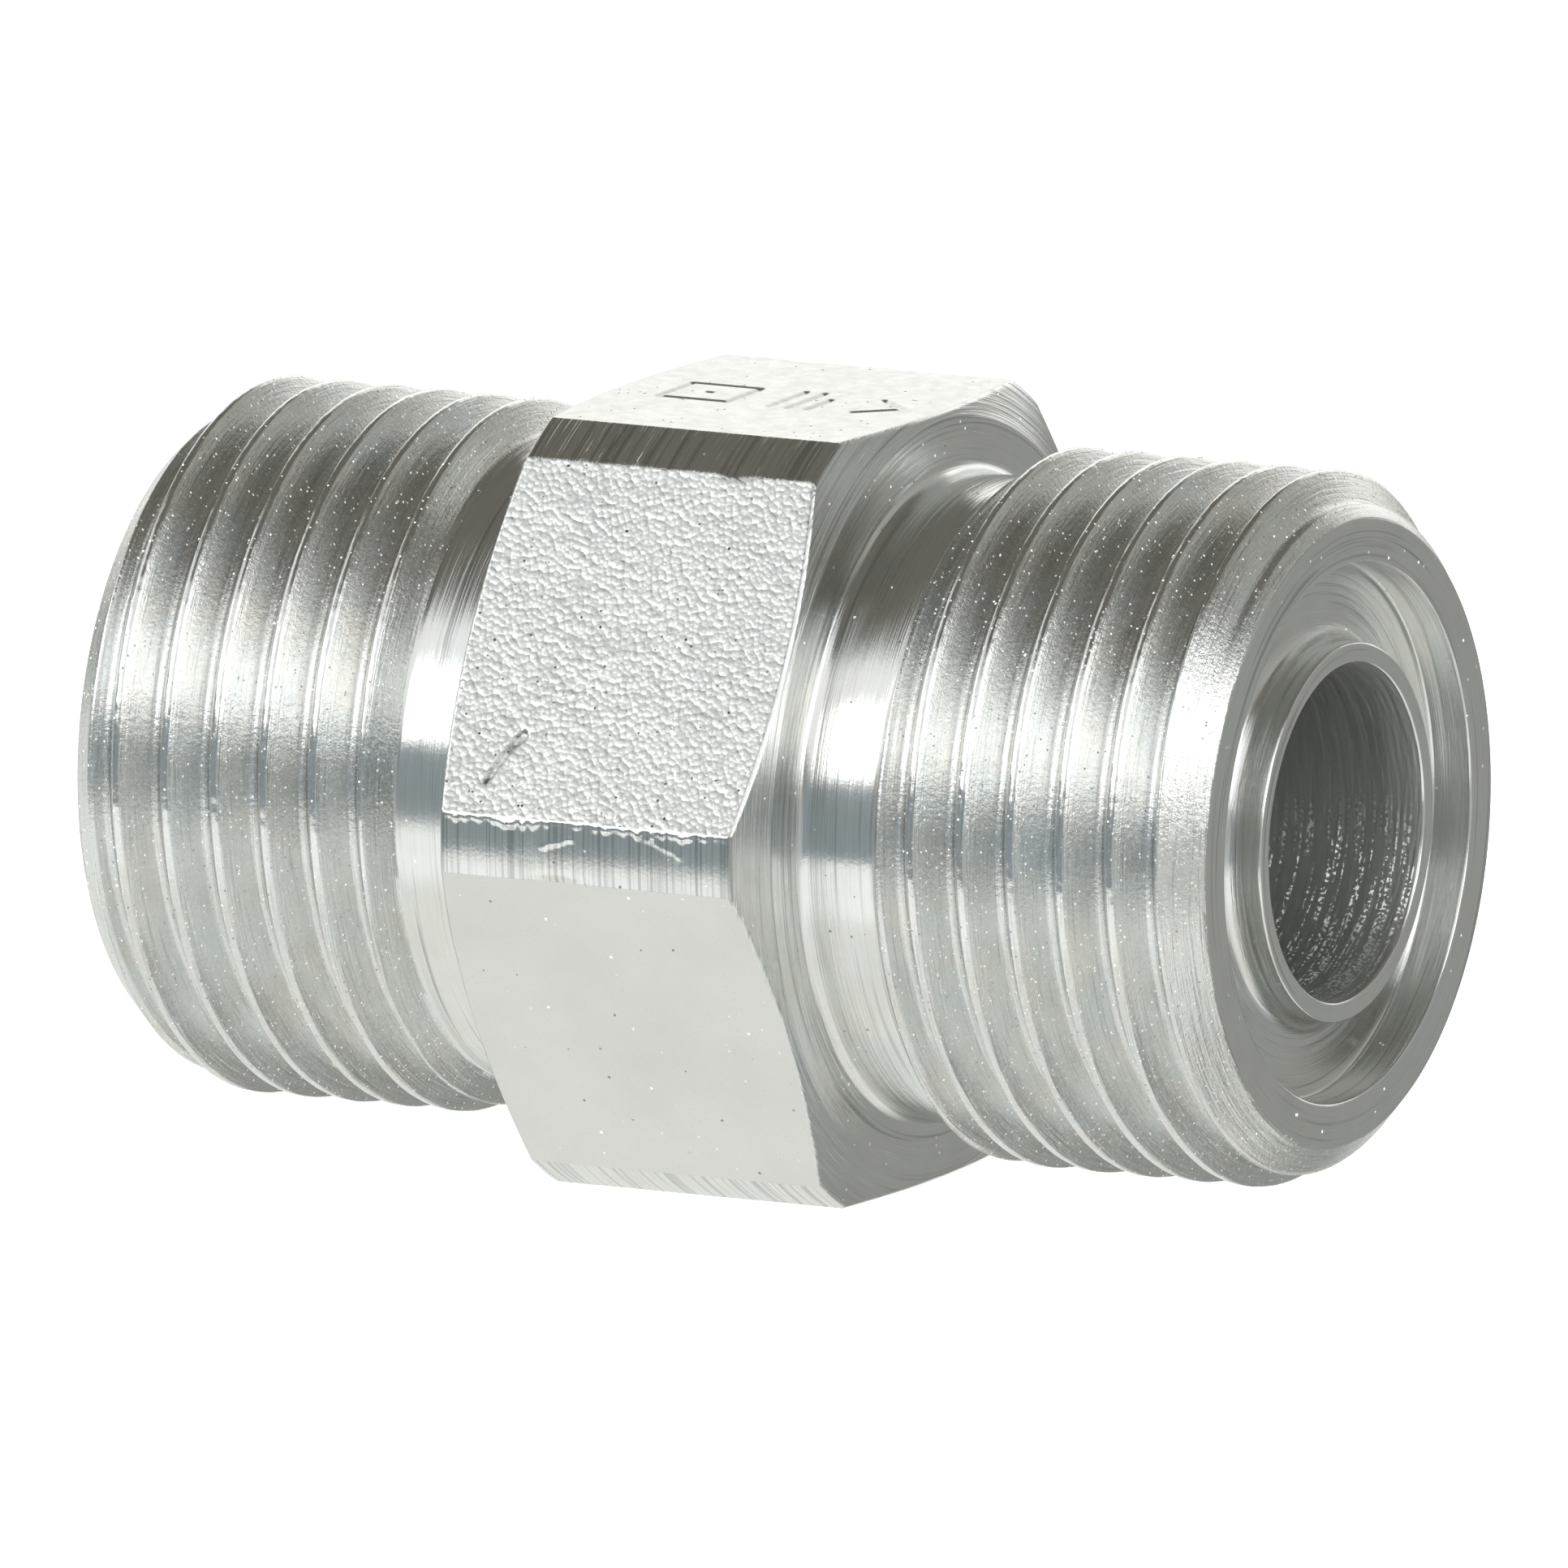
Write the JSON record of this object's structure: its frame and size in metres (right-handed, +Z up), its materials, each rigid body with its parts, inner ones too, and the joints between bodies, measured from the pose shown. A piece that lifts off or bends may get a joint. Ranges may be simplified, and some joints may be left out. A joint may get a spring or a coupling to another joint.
{
  "type": "hex nipple",
  "caption": "Straight hex union with a male thread and a captive face seal groove on each end, through bore, zinc plated steel.",
  "frame": {"origin": "on the bore's axis, halfway between the two end faces", "axes": "+X along the bore, towards the end whose groove is open; +Z up, square to one flat of the hexagon; +Y towards a corner of the hexagon"},
  "size_m": [0.0367, 0.0246, 0.0222],
  "materials": {
    "zinc_plated_steel": "bright zinc plate over turned and forged steel",
    "nitrile_rubber": "satin black moulded rubber"
  },
  "bodies": {
    "root": {"nipple_body": "zinc_plated_steel", "face_seal_o_ring": "nitrile_rubber"}
  },
  "joints": []
}
